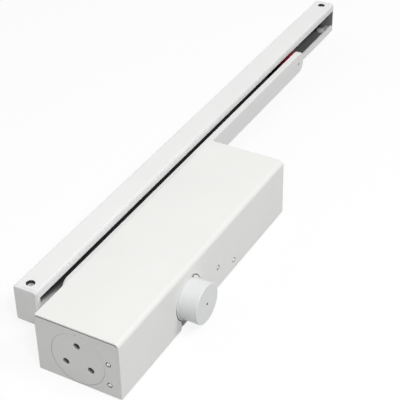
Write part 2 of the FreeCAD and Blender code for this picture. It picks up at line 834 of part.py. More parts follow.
nodes = {
    "body_casting": body_casting(),
    "cover": cover(),
    "front_plug": end_plug(front_end, 1, 0),
    "front_plug_seal": plug_seal(front_end, 1),
    "rear_plug": end_plug(rear_end, -1, plug_spigot_length),
    "rear_plug_seal": plug_seal(rear_end, -1),
    "arm_side_bearing": spindle_ring(
        bearing_start, seal_start, journal_radius + running_play, bearing_radius - fixed_play),
    "cap_side_bearing": spindle_ring(
        -seal_start, -bearing_start, journal_radius + running_play, bearing_radius - fixed_play),
    "arm_side_seal": spindle_ring(
        seal_start, gland_start, journal_radius + running_play / 2, bearing_radius - fixed_play),
    "cap_side_seal": spindle_ring(
        -gland_start, -seal_start, journal_radius + running_play / 2, bearing_radius - fixed_play),
    "arm_side_gland": arm_side_gland(),
    "cap_flange": cap_flange(),
    "cap_flange_screws": cap_flange_screws(),
    "spindle_cap": spindle_cap(),
    "return_spring": return_spring(),
    "pinion_spindle": pinion_spindle(),
    "arm": arm(),
    "arm_screw": arm_screw(),
    "pivot_pin": pivot_pin(),
    "slider_washer": slider_washer(),
    "slider": slider(),
    "rail": rail(),
    "rail_cap_near": rail_end_cap(rail_near, 1, near_cap_plate, near_cap_insert),
    "rail_cap_far": rail_end_cap(rail_far, -1, far_cap_plate, 0),
    "rail_sleeves": rail_sleeves(),
    "piston": piston(),
    "piston_seal": piston_seal(),
    "check_ball": check_ball(),
    "check_retainer": check_retainer_ring(),
}
for name, (head, inward) in valve_places.items():
    nodes[name] = set_at(valve_stem(), head, inward)
    nodes[name + "_seal"] = set_at(valve_ring(), head, inward)

os.makedirs("parts", exist_ok=True)
for name, shape in nodes.items():
    shape.exportStep("parts/" + name + ".step")
    print(name, len(shape.Solids), "solids", round(shape.Volume, 1), "mm3, valid:", shape.isValid())
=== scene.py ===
# %% [markdown]
# # A slide arm door closer
# A door closer shuts a door with a spring and slows it with oil. This one has a long white body that is
# screwed to the door, a flat arm on its spindle, and a rail on the door frame in which the arm's end slides.
# The solids of all pieces come ready at their real size. This lesson gives them their finish: softened edges,
# paint, bare metal and rubber, a few fine pieces that solids only hint at, and then light and a camera.

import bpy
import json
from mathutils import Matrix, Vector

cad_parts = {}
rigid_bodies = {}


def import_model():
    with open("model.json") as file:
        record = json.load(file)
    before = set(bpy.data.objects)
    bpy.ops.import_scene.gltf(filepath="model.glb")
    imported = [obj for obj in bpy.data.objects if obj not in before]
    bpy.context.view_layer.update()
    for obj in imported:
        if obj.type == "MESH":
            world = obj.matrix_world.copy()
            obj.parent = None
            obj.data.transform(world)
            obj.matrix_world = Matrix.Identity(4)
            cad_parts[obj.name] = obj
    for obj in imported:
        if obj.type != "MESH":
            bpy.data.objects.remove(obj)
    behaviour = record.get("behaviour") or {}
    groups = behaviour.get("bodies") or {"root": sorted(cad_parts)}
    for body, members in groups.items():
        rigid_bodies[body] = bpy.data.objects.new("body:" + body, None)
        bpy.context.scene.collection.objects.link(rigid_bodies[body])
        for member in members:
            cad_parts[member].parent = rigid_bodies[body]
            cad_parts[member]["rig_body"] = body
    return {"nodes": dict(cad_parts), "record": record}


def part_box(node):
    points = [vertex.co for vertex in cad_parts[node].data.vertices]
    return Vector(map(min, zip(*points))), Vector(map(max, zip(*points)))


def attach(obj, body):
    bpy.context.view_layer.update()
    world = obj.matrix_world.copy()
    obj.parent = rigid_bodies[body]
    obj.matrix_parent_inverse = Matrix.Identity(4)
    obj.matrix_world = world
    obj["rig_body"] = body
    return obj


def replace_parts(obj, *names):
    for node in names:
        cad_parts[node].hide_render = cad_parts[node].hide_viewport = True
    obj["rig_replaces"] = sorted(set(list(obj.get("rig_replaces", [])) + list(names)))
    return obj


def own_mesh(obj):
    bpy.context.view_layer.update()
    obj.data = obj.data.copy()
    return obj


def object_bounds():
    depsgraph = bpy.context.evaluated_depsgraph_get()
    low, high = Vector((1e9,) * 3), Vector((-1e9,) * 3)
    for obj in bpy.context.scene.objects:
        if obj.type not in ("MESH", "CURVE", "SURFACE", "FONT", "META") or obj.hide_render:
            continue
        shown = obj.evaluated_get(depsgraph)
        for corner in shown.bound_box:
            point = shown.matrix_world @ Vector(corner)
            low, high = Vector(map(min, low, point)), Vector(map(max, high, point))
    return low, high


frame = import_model()
cad_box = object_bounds()

# %% [markdown]
# ## Measuring before making
# Blender works in metres, and a maker of door hardware thinks in millimetres, so one constant changes between
# the two. Each piece is looked up by its name, and its box says where it is: nothing is placed by eye.

# %% Places and names
import json
import math

import bmesh
import bpy
from mathutils import Matrix, Vector

MM = 0.001
nodes = frame["nodes"]
slot_of = {part["node"]: part["material_slot"] for part in frame["record"]["subparts"]}


def corners(node):
    """Lowest and highest corner of a node, in millimetres."""
    low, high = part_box(node)
    return low / MM, high / MM


def middle(node):
    """The middle of a node's box, in millimetres."""
    low, high = corners(node)
    return (low + high) / 2


spindle_axis = middle("spindle_cap")
pivot_axis = middle("pivot_pin")
bore_axis = middle("front_plug")
print("spindle at x %.1f, z %.1f mm; pivot at x %.1f mm" % (spindle_axis.x, spindle_axis.z, pivot_axis.x))

# %% [markdown]
# ## The parts of a finish
# A real surface is never one flat colour. Paint has a faint orange peel, castings are grainy, turned steel
# has rings. All of these can be written as noise or waves in the object's own coordinates, so they keep their
# real size in millimetres and stay on the piece when it moves. The first helpers start a finish, shift or
# squeeze its coordinates, lay a grain in them, and let that grain vary the gloss.

# %% Helpers for coordinates, grain and gloss
NOISE_LOW, NOISE_HIGH = 0.3, 0.7


def start_finish(name):
    """A new material, its shader and the coordinates in which its detail is written."""
    finish = bpy.data.materials.new(name)
    finish.use_nodes = True
    tree = finish.node_tree
    place = tree.nodes.new("ShaderNodeTexCoord").outputs["Object"]
    return finish, tree, tree.nodes["Principled BSDF"], place


def moved(tree, place, centre=(0, 0, 0), squeeze=(1, 1, 1)):
    """Coordinates measured from a centre in millimetres, and squeezed along some axes."""
    mapping = tree.nodes.new("ShaderNodeMapping")
    mapping.inputs["Location"].default_value = [-c * MM * s for c, s in zip(centre, squeeze)]
    mapping.inputs["Scale"].default_value = squeeze
    tree.links.new(place, mapping.inputs["Vector"])
    return mapping.outputs["Vector"]


def grain(tree, place, size, detail=2.0):
    """Noise with lumps of about this size in millimetres."""
    noise = tree.nodes.new("ShaderNodeTexNoise")
    noise.inputs["Scale"].default_value = 1 / (size * MM)
    noise.inputs["Detail"].default_value = detail
    tree.links.new(place, noise.inputs["Vector"])
    return noise.outputs["Fac"]


def roughen(tree, shader, value, low, high):
    """Lets the usual swing of a noise vary the shader's roughness from low to high."""
    ramp = tree.nodes.new("ShaderNodeMapRange")
    ramp.inputs["From Min"].default_value = NOISE_LOW
    ramp.inputs["From Max"].default_value = NOISE_HIGH
    ramp.inputs["To Min"].default_value = low
    ramp.inputs["To Max"].default_value = high
    tree.links.new(value, ramp.inputs["Value"])
    tree.links.new(ramp.outputs["Result"], shader.inputs["Roughness"])


print("noise is taken to swing from %.1f to %.1f" % (NOISE_LOW, NOISE_HIGH))

# %% [markdown]
# ## Colour and relief
# The next helpers turn such values into what the eye sees. A tint swings round one colour. Relief bends the
# light as small bumps would, and leaves the outline as it is: each layer of bumps lies on the one before it.

# %% Helpers for colour and relief
def tint(tree, shader, value, colour, swing):
    """Colours the shader round a base colour, darker and lighter by a share."""
    ramp = tree.nodes.new("ShaderNodeValToRGB")
    shares = (1 - swing, 1 + swing)
    for stop, share, at in zip(ramp.color_ramp.elements, shares, (NOISE_LOW, NOISE_HIGH)):
        stop.position = at
        stop.color = [min(1.0, c * share) for c in colour] + [1.0]
    tree.links.new(value, ramp.inputs["Fac"])
    tree.links.new(ramp.outputs["Color"], shader.inputs["Base Color"])


def relief(tree, shader, *layers):
    """Bumps the surface by layers of (height value, depth in millimetres), one on the other."""
    below = None
    for height, depth in layers:
        bump = tree.nodes.new("ShaderNodeBump")
        bump.inputs["Distance"].default_value = depth * MM
        tree.links.new(height, bump.inputs["Height"])
        if below is not None:
            tree.links.new(below, bump.inputs["Normal"])
        below = bump.outputs["Normal"]
    tree.links.new(below, shader.inputs["Normal"])


print("colour and relief ready")

# %% [markdown]
# ## White powder coat
# The cover, the arm and the rail are powder coated: charged powder is sprayed on the metal and baked until it
# flows. The film levels out almost flat and keeps a faint orange peel of a millimetre or two, with finer
# grain in it. Two bump layers give that, and a slow noise lets the white vary a little over the length. The
# cover is a shade warmer than the rail, as sprayed batches are.

# %% Powder coat on cover, arm and rail
finishes = {}


def powder_coat(name, colour, gloss):
    finish, tree, shader, place = start_finish(name)
    cloud = grain(tree, place, size=45.0, detail=3.0)
    peel = grain(tree, place, size=1.6, detail=1.0)
    fine = grain(tree, place, size=0.35)
    tint(tree, shader, cloud, colour, swing=0.012)
    roughen(tree, shader, peel, low=gloss - 0.05, high=gloss + 0.05)
    relief(tree, shader, (peel, 0.018), (fine, 0.004))
    return finish


finishes["white_cover"] = powder_coat("warm_white_powder_coat", (0.84, 0.84, 0.82), 0.45)
finishes["white_arm"] = powder_coat("arm_powder_coat", (0.82, 0.82, 0.815), 0.42)
finishes["white_rail"] = powder_coat("rail_powder_coat", (0.85, 0.85, 0.845), 0.42)
print("powder coats:", len(finishes))

# %% [markdown]
# ## Painted casting
# The body is cast aluminium. Its skin is coarser than sheet, and the paint follows it: lumps of two or three
# millimetres with a sandy grain on top. The end plugs and the flange of the cap wear the same paint. The
# machined ends would be smoother, but at arm's length one finish reads right for all of them.

# %% Paint on the casting, its plugs and the flange
def cast_paint(name, colour):
    finish, tree, shader, place = start_finish(name)
    cloud = grain(tree, place, size=30.0, detail=4.0)
    lumps = grain(tree, place, size=2.6)
    sand = grain(tree, place, size=0.5, detail=3.0)
    tint(tree, shader, cloud, colour, swing=0.018)
    roughen(tree, shader, sand, low=0.46, high=0.6)
    relief(tree, shader, (lumps, 0.02), (sand, 0.012))
    return finish


finishes["white_casting"] = cast_paint("casting_paint", (0.80, 0.80, 0.79))
print("paint on", [n for n, s in slot_of.items() if s == "white_casting"])

# %% [markdown]
# ## The spindle cap's cool white
# The cap over the spindle's end is turned on a lathe and sprayed with a smoother, cooler white. Fine rings
# from the tool still show through the paint on its face. A wave texture in ring mode, centred on the spindle,
# draws them: on the face they are circles, and along the side they fade into straight bands.

# %% Smooth paint over a turned face
# A wave texture draws its rings this far apart at scale 1.
WAVE_PERIOD = 0.314
RING_PITCH = 0.7
RING_WOBBLE = 0.6


def rings(tree, place, centre, axis, pitch):
    """Concentric rings about an axis through a centre, a pitch in millimetres apart."""
    wave = tree.nodes.new("ShaderNodeTexWave")
    wave.wave_type = "RINGS"
    wave.rings_direction = axis
    wave.inputs["Scale"].default_value = WAVE_PERIOD / (pitch * MM)
    wave.inputs["Distortion"].default_value = RING_WOBBLE
    tree.links.new(moved(tree, place, centre), wave.inputs["Vector"])
    return wave.outputs["Fac"]


def turned_paint(name, colour, centre):
    finish, tree, shader, place = start_finish(name)
    cloud = grain(tree, place, size=9.0, detail=3.0)
    peel = grain(tree, place, size=0.9, detail=1.0)
    circles = rings(tree, place, centre, "Y", RING_PITCH)
    tint(tree, shader, cloud, colour, swing=0.012)
    roughen(tree, shader, peel, low=0.3, high=0.38)
    relief(tree, shader, (circles, 0.0015), (peel, 0.006))
    return finish


finishes["white_cap"] = turned_paint("cool_white_cap_paint", (0.785, 0.797, 0.80), spindle_axis)
print("cap paint centred at", [round(c, 1) for c in spindle_axis])

# %% [markdown]
# ## Moulded plastic
# The rail's end caps are injection moulded. A mould is spark eroded to hide scratches, which leaves an even,
# very fine dimpled skin, and the melt leaves faint clouds that are drawn out along its flow.

# %% Plastic of the rail caps
def moulded_plastic(name, colour):
    finish, tree, shader, place = start_finish(name)
    flow = grain(tree, moved(tree, place, squeeze=(0.3, 1, 1)), size=7.0, detail=4.0)
    dimples = grain(tree, place, size=0.28, detail=1.0)
    tint(tree, shader, flow, colour, swing=0.01)
    roughen(tree, shader, dimples, low=0.45, high=0.6)
    relief(tree, shader, (dimples, 0.008))
    return finish


finishes["white_plastic"] = moulded_plastic("moulded_white_plastic", (0.82, 0.82, 0.815))
print("plastic on", [n for n, s in slot_of.items() if s == "white_plastic"])

# %% [markdown]
# ## Metals
# Bare metal shows how it was worked. Zinc plated steel has a cloudy, slightly blue bloom over turning marks.
# Ground steel is nearly a mirror with hair lines. Machined iron is dull with feed lines, spring wire is dark
# from its oil tempering, and brass keeps fine rings. One function makes them all: it takes the colour, the
# roughness, and how far the work lines are squeezed along an axis, which turns a round noise into streaks.

# %% Worked metals
def worked_metal(name, colour, rough, line, squeeze, depth):
    """Metal with streaks: line is their width and depth their height in millimetres, and a squeeze below 1
    draws them out along an axis."""
    finish, tree, shader, place = start_finish(name)
    shader.inputs["Metallic"].default_value = 1.0
    bloom = grain(tree, place, size=6.0, detail=4.0)
    streaks = grain(tree, moved(tree, place, squeeze=squeeze), size=line, detail=3.0)
    tint(tree, shader, bloom, colour, swing=0.07)
    roughen(tree, shader, streaks, low=rough - 0.08, high=rough + 0.08)
    relief(tree, shader, (streaks, depth))
    return finish


# Slot: name, colour, roughness, and the work lines' width, squeeze and depth.
METALS = {
    "zinc_steel": ("zinc_plated_steel", (0.62, 0.63, 0.65), 0.32, 0.25, (1, 0.15, 1), 0.003),
    "bearing_steel": ("ground_steel", (0.66, 0.67, 0.69), 0.18, 0.12, (1, 0.1, 1), 0.001),
    "spring_steel": ("tempered_spring_wire", (0.20, 0.20, 0.22), 0.38, 0.3, (1, 1, 0.3), 0.003),
    "piston_iron": ("machined_iron", (0.33, 0.33, 0.34), 0.45, 0.35, (1, 0.08, 0.08), 0.006),
    "valve_brass": ("turned_brass", (0.70, 0.52, 0.24), 0.3, 0.2, (1, 0.2, 0.2), 0.003),
}
for slot, metal in METALS.items():
    finishes[slot] = worked_metal(*metal)
print("metals:", ", ".join(METALS))

# %% [markdown]
# ## Rubber
# All seals are black nitrile rubber. Rubber looks dull because its skin scatters light, and a faint bloom of
# wax greys it in places. High roughness and a slow noise between two near blacks are enough.

# %% Seal rubber
def seal_rubber(name):
    finish, tree, shader, place = start_finish(name)
    bloom = grain(tree, place, size=2.5, detail=4.0)
    skin = grain(tree, place, size=0.2)
    tint(tree, shader, bloom, (0.022, 0.022, 0.023), swing=0.3)
    roughen(tree, shader, skin, low=0.6, high=0.75)
    relief(tree, shader, (skin, 0.006))
    return finish


finishes["seal_rubber"] = seal_rubber("nitrile_rubber")
print("slots that get their finish further on:", sorted(set(slot_of.values()) - set(finishes)))

# %% [markdown]
# ## Fades
# Painted light and shade change over a length, which no noise can draw. A fade runs between colours by a
# measure: how far a place lies along a direction, or how far it is from an axis. Its stops are then written
# in millimetres of the real object.

# %% Helpers for fades
def along(direction):
    """A measure for fades: how far a place lies along a direction."""
    def measure(tree, place):
        dot = tree.nodes.new("ShaderNodeVectorMath")
        dot.operation = "DOT_PRODUCT"
        dot.inputs[1].default_value = direction
        tree.links.new(place, dot.inputs[0])
        return dot.outputs["Value"]
    return measure


def away_from(axis):
    """A measure for fades: the distance from a line along Y through a point in millimetres."""
    def measure(tree, place):
        length = tree.nodes.new("ShaderNodeVectorMath")
        length.operation = "LENGTH"
        tree.links.new(moved(tree, place, axis, (1, 0, 1)), length.inputs[0])
        return length.outputs["Value"]
    return measure


def fade(tree, shader, value, stops):
    """Colours the shader by a measured value, with stops of (millimetres, colour) in rising order."""
    first, last = stops[0][0], stops[-1][0]
    share = tree.nodes.new("ShaderNodeMapRange")
    share.inputs["From Min"].default_value = first * MM
    share.inputs["From Max"].default_value = last * MM
    tree.links.new(value, share.inputs["Value"])
    ramp = tree.nodes.new("ShaderNodeValToRGB")
    elements = ramp.color_ramp.elements
    while len(elements) < len(stops):
        elements.new(0.5)
    # A ramp sorts its stops as they move, so all places are set before the colours.
    for element, (at, colour) in zip(elements, stops):
        element.position = (at - first) / (last - first)
    for element, (at, colour) in zip(elements, stops):
        element.color = list(colour) + [1.0]
    tree.links.new(share.outputs["Result"], ramp.inputs["Fac"])
    tree.links.new(ramp.outputs["Color"], shader.inputs["Base Color"])


print("fades ready")

# %% [markdown]
# ## Painted shade in holes and gaps
# Holes and the narrow gap under the cover are painted dark as painted shade: the walls of drilled holes,
# and the casting and the sheet where the cover hides them. A gap only reads as a dark line when the faces in
# it swallow light. These skins are rough, with a grain, and as dark as a narrow place looks in shade. Where
# light or shade changes along a face, a painted fade between colours draws it instead.

# %% Skins of painted shade
def shade_skin(name, colour, size):
    """A dull, blotchy skin with pores an eighth of its blotches' size."""
    finish, tree, shader, place = start_finish(name)
    blotches = grain(tree, place, size, detail=4.0)
    pores = grain(tree, place, size / 8)
    tint(tree, shader, blotches, colour, swing=0.2)
    roughen(tree, shader, pores, low=0.6, high=0.8)
    relief(tree, shader, (pores, 0.01))
    return finish


def painted_fade(name, measure, stops, shine=0.5):
    """A dull skin whose colour fades along a measure to paint light and shade, with stops of (millimetres,
    grey or colour).
    """
    finish, tree, shader, place = start_finish(name)
    shader.inputs["Specular IOR Level"].default_value = shine
    colours = [(at, c if isinstance(c, tuple) else (c, c, c)) for at, c in stops]
    fade(tree, shader, measure(tree, place), colours)
    pores = grain(tree, place, size=0.5)
    roughen(tree, shader, pores, low=0.5, high=0.7)
    relief(tree, shader, (pores, 0.006))
    return finish


# Both skins are painted shade: the dark in holes and in the gap under the cover.
hole_shade = shade_skin("hole_painted_shade", (0.045, 0.046, 0.045), 1.5)
gap_shade = shade_skin("gap_painted_shade", (0.16, 0.16, 0.155), 4.0)
print("skins:", hole_shade.name, "and", gap_shade.name)

# %% [markdown]
# ## From solids to pieces
# Most pieces start as a copy of their solid's mesh. Doubled points are merged and flat triangles dissolved
# into whole faces, because a bevel needs clean edges to run along. A piece then takes the finish of its slot
# and moves with the body of the node that it stands for.

# %% Helpers that make a piece
MERGE = 0.002
FLAT_DEG = 0.3


def clean_copy(node):
    """The mesh of a node with doubled points merged and flat triangles joined."""
    work = bmesh.new()
    work.from_mesh(nodes[node].data)
    bmesh.ops.remove_doubles(work, verts=work.verts, dist=MERGE * MM)
    flat = math.radians(FLAT_DEG)
    bmesh.ops.dissolve_limit(work, angle_limit=flat, verts=work.verts, edges=work.edges)
    mesh = bpy.data.meshes.new(node + "_mesh")
    work.to_mesh(mesh)
    work.free()
    return mesh


def put(mesh, name, node, *more_nodes):
    """Makes a piece of a mesh, in the finish and on the body of the node it stands for."""
    piece = bpy.data.objects.new(name, mesh)
    bpy.context.scene.collection.objects.link(piece)
    mesh.materials.clear()
    mesh.materials.append(finishes[slot_of[node]])
    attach(piece, nodes[node]["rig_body"])
    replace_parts(piece, node, *more_nodes)
    return piece


print("points closer than %.3f mm will be merged" % MERGE)

# %% [markdown]
# ## Softening edges
# No real edge is perfectly sharp. Paint rounds it, tools break it, and the thin bright line that a rounded
# edge catches is what makes a render look solid. A Bevel modifier rounds whatever is sharp, and a Weighted
# Normal modifier then keeps the large faces looking flat.

# %% A helper that softens a piece
SHARP_DEG = 32.0


def smooth(piece):
    """Shades a piece smooth between its sharp edges."""
    piece.data.shade_smooth()
    piece.data.set_sharp_from_angle(angle=math.radians(SHARP_DEG))
    return piece


def round_edges(piece, edge, steps):
    """Rounds the sharp edges of a piece to an edge size in millimetres."""
    bevel = smooth(piece).modifiers.new("broken edges", "BEVEL")
    bevel.limit_method = "ANGLE"
    bevel.angle_limit = math.radians(SHARP_DEG)
    bevel.width = edge * MM
    bevel.segments = steps
    bevel.use_clamp_overlap = False
    bevel.miter_outer = "MITER_ARC"
    bevel.harden_normals = True
    normals = piece.modifiers.new("flat faces", "WEIGHTED_NORMAL")
    normals.keep_sharp = True
    return piece


def soften(node, name, edge, steps=3):
    """A piece in the shape of a node, with its edges rounded in a number of steps."""
    piece = round_edges(put(clean_copy(node), name, node), edge, steps)
    print("%s: %d faces, edges of %.2f mm" % (name, len(piece.data.polygons), edge))
    return piece


print("edges sharper than %.0f degrees will be rounded" % SHARP_DEG)

# %% [markdown]
# ## Two finishes on one piece
# A mesh can carry several materials, and each face says which one it wears. A small helper hands the second
# finish to every face that passes a test on its middle and its normal, so the border follows real edges. The
# tests share a few limits: a face lies flat to an axis when that part of its normal is near one, it is a wall
# when that part is small, and places are compared with a little slack in millimetres.

# %% A helper for a second finish
FLAT = 0.9
WALL = 0.5
LEAN = 0.1
SLACK = 0.1


def refinish(piece, finish, belongs):
    """Gives the finish to each face for which belongs(middle in millimetres, normal) is true."""
    piece.data.materials.append(finish)
    number = len(piece.data.materials) - 1
    chosen = [face for face in piece.data.polygons if belongs(face.center / MM, face.normal)]
    for face in chosen:
        face.material_index = number
    print("%s: %d faces in %s" % (piece.name, len(chosen), finish.name))


print("normals: flat above %.1f, wall below %.1f; slack %.1f mm" % (FLAT, WALL, SLACK))

# %% [markdown]
# ## Valve holes
# Four small valves sit in drilled holes of the casting, two of them behind round windows in the cover. The
# walls of these holes are painted dark as painted shade. A face belongs to a hole when it is close
# to the axis of a valve, so the axes are measured once: each runs along the valve's longest side.

# %% Axes of the valves
HOLE_RADIUS = 2.2
VALVES = ("closing_valve", "latching_valve", "backcheck_valve", "delay_valve")


def valve_axis(valve):
    """The middle of a valve and the number of its long axis."""
    low, high = corners(valve)
    size = list(high - low)
    return (low + high) / 2, size.index(max(size))


valve_axes = [valve_axis(valve) for valve in VALVES]


def in_valve_hole(at):
    """Whether a place is near the axis of a valve."""
    for centre, axis in valve_axes:
        gap = at - centre
        gap[axis] = 0
        if gap.length < HOLE_RADIUS:
            return True
    return False


print("valves along", ["xyz"[axis] for centre, axis in valve_axes])

# %% [markdown]
# ## The body
# The cover is one bent sheet, open at both ends, so its cut edges show: they are broken only a little, less
# than a third of the sheet. Its underside and the top of the casting below it, as far as the rounding hides
# under the sheet, wear the dark skin of painted shade, which makes the gap between them a dark line. The
# walls of the valve holes and the edges of the windows above them are painted shade as well. On the casting's
# side, the seat of the cap's flange is painted shade up to a little outside it, and the recess below the seat
# is painted lighter towards the bottom, as painted light.

# %% Cover and casting
COVER_BEND = 5.0
COVERED_TOP = 1.0
COVERED_TILT = 0.7
SEAT_RADIUS = 17.0
SEAT_FADE = 0.5
SEAT_SHADE_GREY, PAINT_GREY = 0.05, 0.8
RECESS_HALF = 10.7
RECESS_DEPTH = 4.2
cover_top = corners("cover")[1].z
cast_low, cast_high = corners("body_casting")

cover_piece = soften("cover", "bent_cover", edge=0.2)
# The cover's underside and the walls of its windows are painted shade.
refinish(cover_piece, gap_shade, lambda at, n: n.z < -LEAN and at.z > cover_top - COVER_BEND)
refinish(cover_piece, gap_shade, lambda at, n: in_valve_hole(at))

casting_piece = soften("body_casting", "painted_casting", edge=0.18, steps=2)
# The casting's covered top and its valve holes are painted shade.
refinish(casting_piece, gap_shade, lambda at, n: n.z > COVERED_TILT and at.z > cast_high.z - COVERED_TOP)
refinish(casting_piece, hole_shade, lambda at, n: in_valve_hole(at))
# The flange's seat on the casting is painted shade.
flange_seat_shade = painted_fade("flange_seat_shade", away_from(spindle_axis), [
    (0, SEAT_SHADE_GREY), (SEAT_RADIUS, SEAT_SHADE_GREY), (SEAT_RADIUS + SEAT_FADE, PAINT_GREY)])
refinish(casting_piece, flange_seat_shade, lambda at, n: n.y < -FLAT and at.y < cast_low.y + SLACK)
# The recess is painted lighter towards the bottom, as painted light.
recess_painted_light = painted_fade("recess_painted_light", along((0, 0, 1)), [(cast_low.z, 0.98), (spindle_axis.z, 0.9)])
refinish(casting_piece, recess_painted_light, lambda at, n: (
    abs(at.x - spindle_axis.x) < RECESS_HALF and at.z < spindle_axis.z
    and cast_low.y + SLACK < at.y < cast_low.y + RECESS_DEPTH))

# %% [markdown]
# ## End plugs
# The plugs are turned with a pin spanner in three blind holes. Paint covers the first half millimetre of
# their walls, and deeper in they are painted dark as painted shade. The fade is written for one end of the
# body and mirrored for the other. Round each plug a fine groove shows: the walls of plug and casting in it
# are painted dark as painted shade.

# %% End plugs
SPANNER_DEPTH = 9.0
SPANNER_RING = (7.0, 14.0)
SPANNER_RIM = 0.2
PLUG_EDGE = 19.0
GROOVE_WIDTH = 1.5
GROOVE_DEPTH = 4.0
# Depth in a spanner hole, and how grey its wall is there; the dark grey deeper in is painted shade.
HOLE_SHADE_GREY = ((0, 0.95), (0.6, 0.95), (0.9, 0.3), (4, 0.3))
plug_end = corners("rear_plug")[1].x
near_stops = [(depth - plug_end, grey) for depth, grey in HOLE_SHADE_GREY]
far_stops = [(plug_end - depth, grey) for depth, grey in reversed(HOLE_SHADE_GREY)]
# The walls of the spanner holes are painted darker deeper in, as painted shade.
hole_wall_shade = painted_fade("spanner_hole", along((1, 0, 0)), near_stops + far_stops)


def from_bore(at):
    """Distance of a place from the axis of the body's bore, along X."""
    return math.hypot(at.y - bore_axis.y, at.z - bore_axis.z)


def in_spanner_hole(at):
    """Whether a place lies below a plug's face and in the ring of its spanner holes."""
    depth = plug_end - abs(at.x)
    inner, outer = SPANNER_RING
    return SPANNER_RIM < depth < SPANNER_DEPTH + SPANNER_RIM and inner < from_bore(at) < outer


# The spanner holes and the walls of the groove round each plug are painted shade.
for plug in ("front_plug", "rear_plug"):
    plug_piece = soften(plug, plug + "_painted", edge=0.35)
    refinish(plug_piece, hole_wall_shade, lambda at, n: in_spanner_hole(at))
    refinish(plug_piece, hole_shade, lambda at, n: abs(n.x) < WALL and from_bore(at) > PLUG_EDGE)
refinish(casting_piece, hole_shade, lambda at, n: (
    abs(n.x) < WALL and PLUG_EDGE < from_bore(at) < PLUG_EDGE + GROOVE_WIDTH
    and abs(at.x) > plug_end - GROOVE_DEPTH))

# %% [markdown]
# ## Spindle cap and flange
# The cap sits on a flange with two ears, which two small screws hold to the casting below the cover. The
# cap's rim is already rounded in the solid, so it only needs a hint of softening at its foot. A drilled mark
# in its middle and one on the flange show how they go together. Both are painted dark inside as painted
# shade, with a rim of painted shade on the flange. The flange's outer wall is painted dark below and at the
# far side as painted shade, and white on its upper side towards the near end.

# %% Cap and flange
CAP_MARK_RADIUS, CAP_MARK_DEPTH = 1.0, 1.7
FLANGE_MARK = Vector((5.75, 0, 14.23))
FLANGE_MARK_RADIUS, FLANGE_MARK_DEPTH = 0.8, 1.2
MARK_RIM, MARK_FADE = 0.75, 0.25
FLANGE_WALL = 15.5
FLANGE_TILT = 0.3
WALL_FADE = Vector((-0.5, 0, 0.87)).normalized()
# Way from the spindle's axis along that direction, and how grey the flange's wall is there as painted shade.
WALL_SHADE_GREY = ((4, SEAT_SHADE_GREY), (8, 0.3), (10, PAINT_GREY))
cap_low, cap_high = corners("spindle_cap")


def off_axis(at, axis):
    """Distance of a place from an axis along Y."""
    return math.hypot(at.x - axis.x, at.z - axis.z)


def in_mark(at, axis, radius, face, depth):
    """Whether a place lies in a mark that is drilled along +Y from a face."""
    return off_axis(at, axis) < radius and SLACK < at.y - face < depth


cap_piece = soften("spindle_cap", "turned_cap", edge=0.15)
# The cap's drilled mark is painted shade inside.
refinish(cap_piece, hole_shade, lambda at, n: (
    in_mark(at, spindle_axis, CAP_MARK_RADIUS, cap_low.y, CAP_MARK_DEPTH)))

flange_piece = soften("cap_flange", "eared_flange", edge=0.2)
mark_axis = spindle_axis + FLANGE_MARK
# The flange's mark and its rim are painted shade.
flange_mark_shade = painted_fade("flange_mark_painted_shade", away_from(mark_axis), [
    (0, SEAT_SHADE_GREY), (MARK_RIM, SEAT_SHADE_GREY), (MARK_RIM + MARK_FADE, PAINT_GREY)])
refinish(flange_piece, flange_mark_shade, lambda at, n: n.y < -FLAT and at.y < cap_high.y + 3 * SLACK)
refinish(flange_piece, hole_shade, lambda at, n: (
    in_mark(at, mark_axis, FLANGE_MARK_RADIUS, cap_high.y, FLANGE_MARK_DEPTH)))
# The flange's outer wall is painted shade below and at the far side.
wall_stops = [(spindle_axis.dot(WALL_FADE) + way, grey) for way, grey in WALL_SHADE_GREY]
flange_wall_shade = painted_fade("flange_wall_shade", along(WALL_FADE), wall_stops)
refinish(flange_piece, flange_wall_shade, lambda at, n: (
    abs(n.y) < FLANGE_TILT and off_axis(at, spindle_axis) > FLANGE_WALL))

# %% [markdown]
# ## Two small screws
# The flange's screws are the sort with a cross recess. They are made here from scratch, because their thread
# and recess are too fine for the solids: a lathe profile gives the head, a rod whose radius swings with a
# helix gives the thread, and a Boolean cuts the cross. Both stay inside the plain screws of the solid. Heads
# and rods are both rows of rings, so the first helpers make a ring and skin a list of them.

# %% Rings, rods and turned forms
def ring_of(work, centre, radius_at, sides):
    """A ring of points about the Y axis through a centre; radius_at gives the radius at each angle."""
    points = []
    for i in range(sides):
        angle = 2 * math.pi * i / sides
        spoke = Vector((math.cos(angle), 0, math.sin(angle))) * radius_at(angle)
        points.append(work.verts.new(centre + spoke))
    return points


def join_rings(work, rows):
    """Skins a list of rings into a closed rod."""
    sides = len(rows[0])
    for near, far in zip(rows, rows[1:]):
        for i in range(sides):
            j = (i + 1) % sides
            work.faces.new((near[i], near[j], far[j], far[i]))
    work.faces.new(list(reversed(rows[0])))
    work.faces.new(rows[-1])


def add_turned(work, centre, profile, sides):
    """A closed turned form about +Y through a centre, from (radius, place along Y) pairs."""
    rows = [ring_of(work, centre + Vector((0, y, 0)), lambda a, r=r: r, sides) for r, y in profile]
    join_rings(work, rows)


print("ring helpers ready")

# %% [markdown]
# A thread is a row of rings whose radius depends on the angle: a zigzag that moves on by one pitch in each
# turn. Towards its end it runs out, as a rolled thread does.

# %% Threads
THREAD_SIDES = 20
THREAD_STEPS = 8
THREAD_DEPTH = 0.6
RUN_OUT = 0.25


def thread_radius(outer, depth, way, pitch):
    """Radius of a thread some way along it, as a function of the angle."""
    def at(angle):
        phase = (way / pitch - angle / (2 * math.pi)) % 1
        return outer - depth * abs(2 * phase - 1)
    return at


